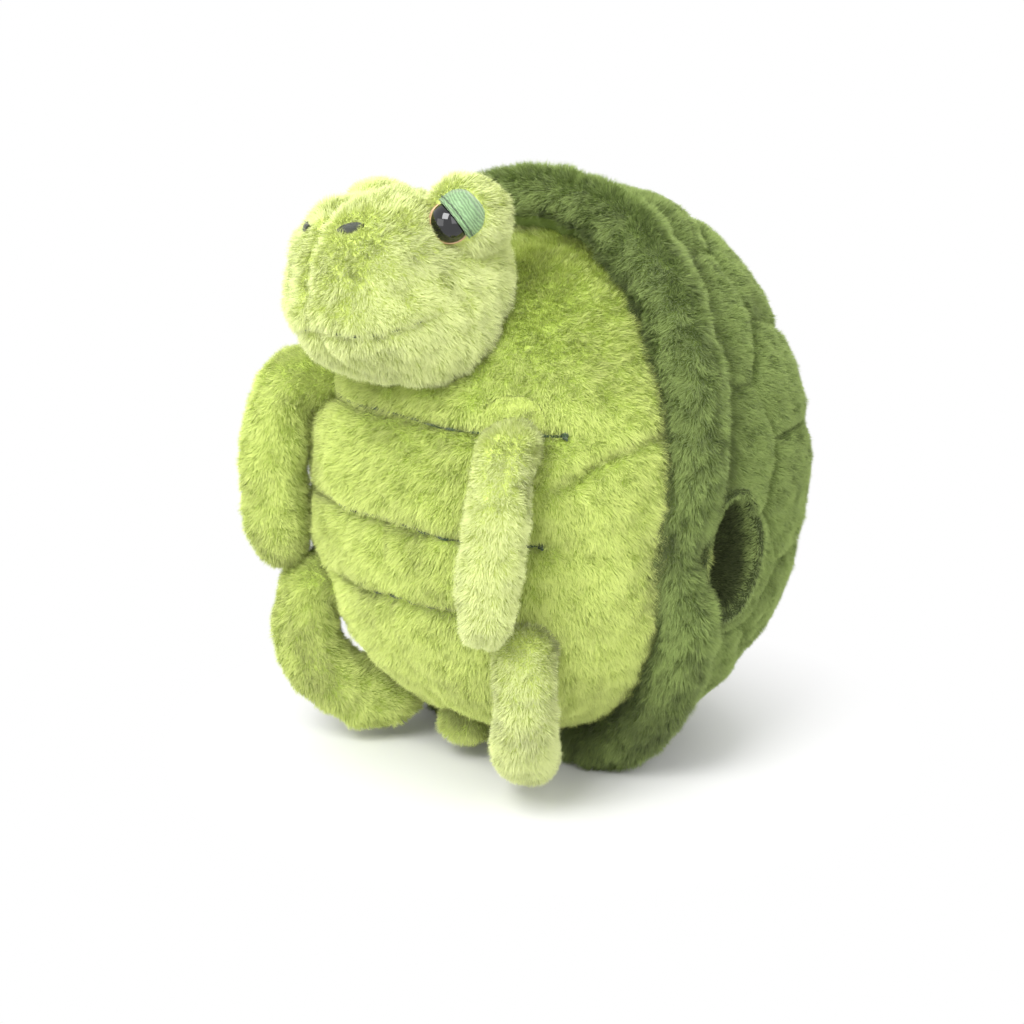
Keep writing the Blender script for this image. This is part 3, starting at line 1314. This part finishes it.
class TURTLE_OT_stage(bpy.types.Operator):
    """Pale floor, soft lamps, white background and the camera"""

    bl_idname = "turtle.stage"
    bl_label = "Stage"

    def execute(self, context):
        scene = context.scene
        self.add_floor(scene)
        self.add_world(scene)
        self.add_lamps(scene)
        self.add_camera(scene)
        scene.view_settings.view_transform = "Standard"
        return {"FINISHED"}

    def add_floor(self, scene):
        """A disc that takes the shadow near the turtle and glows plain white beyond it."""
        floor = Finish("floor", (0.90, 0.90, 0.895), 0.9)
        place = floor.node("TexCoord").outputs["Object"]
        far = floor.node("VectorMath", {"operation": "LENGTH"}, i0=place)
        edge = (floor.value(far.outputs["Value"]) - FLOOR_CLEAR) / FLOOR_FADE
        white = floor.node("Emission", Color=(1, 1, 1, 1), Strength=1.0).outputs[0]
        end = floor.tree.nodes["Material Output"].inputs[0]
        floor.blend(edge.held(), floor.shader.outputs[0], white, end)
        turn = full_turn(96)
        ring = vectors(np.cos(turn), np.sin(turn), 0)
        grid = ring[None] * np.linspace(0, FLOOR_SIZE, 24)[:, None, None]
        disc = facing_out(grid, np.array([0, 0, -1]), first_pole=True)
        mesh = bpy.data.meshes.new("floor")
        mesh.from_pydata(disc.points.tolist(), [], disc.tris.tolist())
        mesh.materials.append(floor.material)
        item = bpy.data.objects.new("floor", mesh)
        scene.collection.objects.link(item)

    def add_world(self, scene):
        """Even light, and full white wherever the background itself is seen or mirrored."""
        scene.world = bpy.data.worlds.new("studio")
        scene.world.use_nodes = True
        sky = Nodes(scene.world.node_tree)
        ambient = sky.tree.nodes["Background"]
        sky.join((1, 1, 1, 1), ambient.inputs[0])
        sky.join(AMBIENT, ambient.inputs[1])
        white = sky.node("Background", Color=(1, 1, 1, 1), Strength=1.0).outputs[0]
        rays = sky.node("LightPath").outputs
        seen = [sky.value(rays[kind]) for kind in ("Is Camera Ray", "Is Glossy Ray", "Is Transmission Ray")]
        end = sky.tree.nodes["World Output"].inputs[0]
        sky.blend((seen[0] + seen[1] + seen[2]).held(), ambient.outputs[0], white, end)

    def add_lamps(self, scene):
        """Square lamps that face the middle of the body."""
        for name, (place, size, power) in LAMPS.items():
            lamp = bpy.data.lights.new(name, "AREA")
            lamp.shape = "SQUARE"
            lamp.size = size
            lamp.energy = power
            lit = bpy.data.objects.new(name, lamp)
            scene.collection.objects.link(lit)
            lit.location = place
            lit.rotation_euler = (Vector(MIDDLE) - Vector(place)).to_track_quat("-Z", "Y").to_euler()

    def add_camera(self, scene):
        """The camera looks past the body's middle, which lies off the middle of the picture."""
        pixel = SENSOR_WIDTH / CAMERA_LENS * CAMERA_DISTANCE / FRAME_PIXELS
        across, along, level = math.sin(CAMERA_TURN), math.cos(CAMERA_TURN), math.cos(CAMERA_RISE)
        right = Vector((along, across, 0))
        back = Vector((across * level, -along * level, math.sin(CAMERA_RISE)))
        above = back.cross(right)
        aim = Vector(MIDDLE) - right * (BODY_RIGHT_PIXELS * pixel) - above * (BODY_ABOVE_PIXELS * pixel)
        camera = bpy.data.cameras.new("camera")
        camera.lens = CAMERA_LENS
        view = bpy.data.objects.new("camera", camera)
        scene.collection.objects.link(view)
        view.location = aim + back * CAMERA_DISTANCE
        view.rotation_euler = back.to_track_quat("Z", "Y").to_euler()
        scene.camera = view


STEPS = (
    TURTLE_OT_belly, TURTLE_OT_shell, TURTLE_OT_rim, TURTLE_OT_pockets, TURTLE_OT_head,
    TURTLE_OT_eyes, TURTLE_OT_face, TURTLE_OT_stitching, TURTLE_OT_limbs, TURTLE_OT_stage,
)


class TURTLE_PT_panel(bpy.types.Panel):
    """Sizes, colours and the steps in their order"""

    bl_idname = "TURTLE_PT_panel"
    bl_label = "Stuffed Turtle"
    bl_space_type = "VIEW_3D"
    bl_region_type = "UI"
    bl_category = "Turtle"

    def draw(self, context):
        for group in (context.scene.turtle_sizes, context.scene.turtle_colours):
            for key in group.bl_rna.properties.keys():
                if key not in ("rna_type", "name"):
                    self.layout.prop(group, key)
        for step in STEPS:
            self.layout.operator(step.bl_idname)


CLASSES = (TurtleSizes, TurtleColours, *STEPS, TURTLE_PT_panel)


def register():
    for item in CLASSES:
        bpy.utils.register_class(item)
    bpy.types.Scene.turtle_sizes = PointerProperty(type=TurtleSizes)
    bpy.types.Scene.turtle_colours = PointerProperty(type=TurtleColours)


def unregister():
    del bpy.types.Scene.turtle_colours
    del bpy.types.Scene.turtle_sizes
    for item in reversed(CLASSES):
        bpy.utils.unregister_class(item)


def main():
    register()
    for step in STEPS:
        group, name = step.bl_idname.split(".")
        getattr(getattr(bpy.ops, group), name)()


if __name__ == "__main__":
    main()
